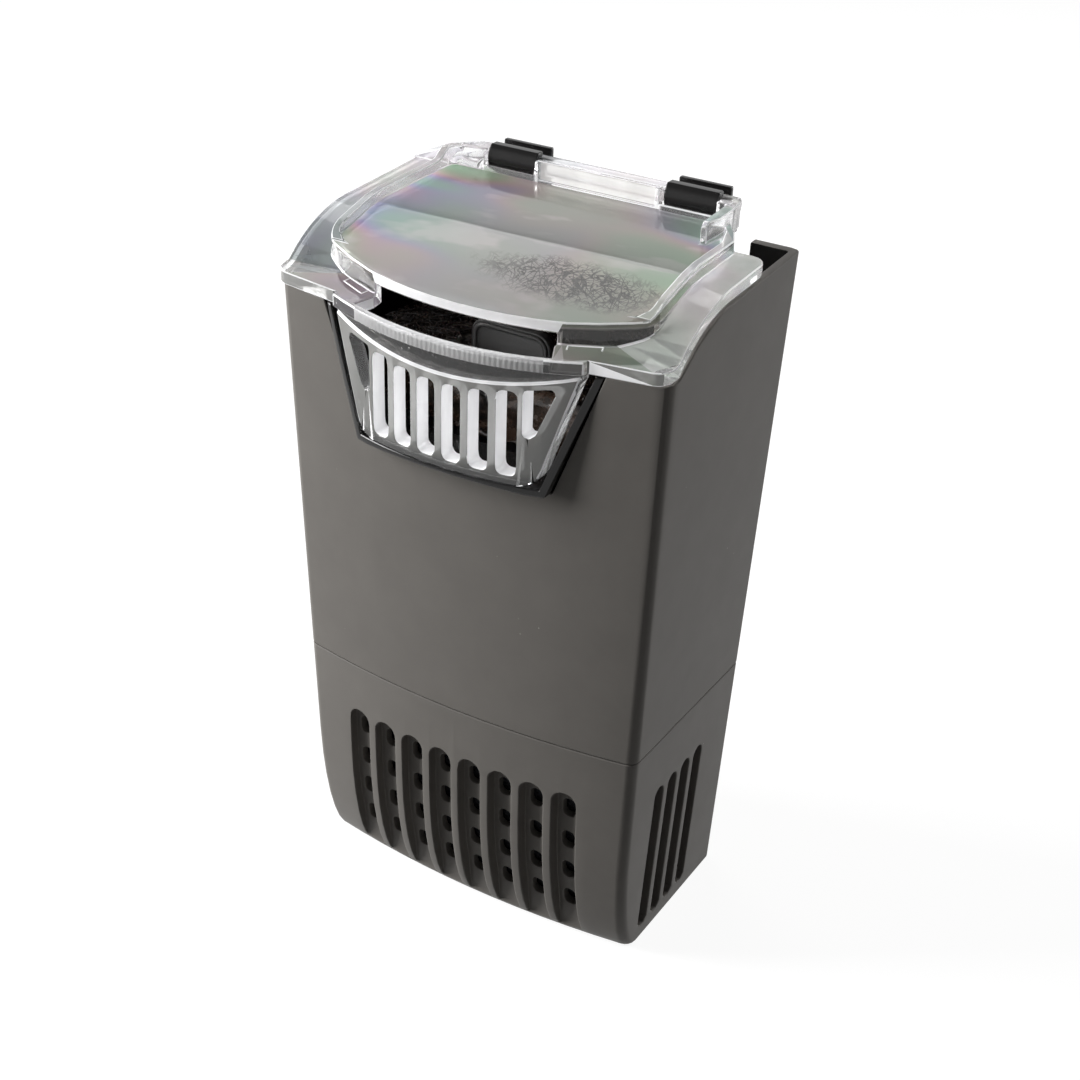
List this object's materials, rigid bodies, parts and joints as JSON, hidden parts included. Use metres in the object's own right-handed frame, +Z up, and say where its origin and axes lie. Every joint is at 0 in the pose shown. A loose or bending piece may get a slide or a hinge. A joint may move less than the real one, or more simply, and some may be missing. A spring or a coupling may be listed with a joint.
{
  "type": "in-tank waterfall filter",
  "caption": "Aquarium filter with a pump in its strainer base, a media housing, an outlet spout and a hinged clear cover whose grille hangs over the spout.",
  "frame": {"origin": "middle of the flat underside, at the middle of the width and of the depth at the seam", "axes": "+Z up, -Y towards the front with the spout, +X to the right seen from the front"},
  "size_m": [0.1164, 0.0856, 0.2063],
  "materials": {
    "housing": "charcoal ABS with a fine satin texture",
    "gloss_black": "polished black plastic",
    "clear": "clear polystyrene with bright edges",
    "pump_black": "black plastic",
    "basket": "dark grey plastic",
    "foam": "open-cell foam",
    "carbon": "activated carbon in a mesh sleeve",
    "ceramic": "unglazed porous ceramic",
    "fibre": "curly black filter fibre",
    "steel": "laminated electrical steel",
    "copper": "enamelled copper wire",
    "ferrite": "sintered ferrite",
    "white": "white acetal",
    "dial": "grey plastic",
    "rubber": "soft black rubber",
    "cup": "translucent soft PVC"
  },
  "bodies": {
    "housing": {"strainer_base": "housing", "upper_housing": "housing", "outlet_spout": "gloss_black", "hinge_clip_left": "gloss_black", "hinge_clip_right": "gloss_black", "suction_cups": "cup", "intake_foam": "foam", "motor_housing": "pump_black", "stator_core": "steel", "stator_coil": "copper", "impeller_cover": "pump_black", "chamber_seal": "rubber", "impeller_shaft": "white", "shaft_bushes": "rubber", "cable_gland": "rubber", "pump_feet": "rubber", "outlet_tube": "dial", "floor_grommet": "rubber", "diffuser_plate": "basket", "media_basket": "basket", "foam_block": "foam", "carbon_cartridge": "carbon", "ceramic_rings": "ceramic", "basket_grid": "basket", "fibre_pad": "fibre"},
    "cover": {"top_cover": "clear"},
    "impeller": {"rotor_magnet": "ferrite", "impeller_wheel": "white"},
    "dial": {"flow_dial": "dial"}
  },
  "joints": [
    {"name": "cover_hinge", "type": "hinge", "parent": "housing", "child": "cover", "pos_m": [0, 0.03584, 0.2025], "axis": [-1, 0, 0], "range_deg": [0, 105]},
    {"name": "impeller_spin", "type": "hinge", "parent": "housing", "child": "impeller", "pos_m": [0, 0.0045, 0.025], "axis": [1, 0, 0], "continuous": true},
    {"name": "flow_dial_turn", "type": "hinge", "parent": "housing", "child": "dial", "pos_m": [0.017, 0.0045, 0.025], "axis": [1, 0, 0], "range_deg": [0, 45]}
  ]
}
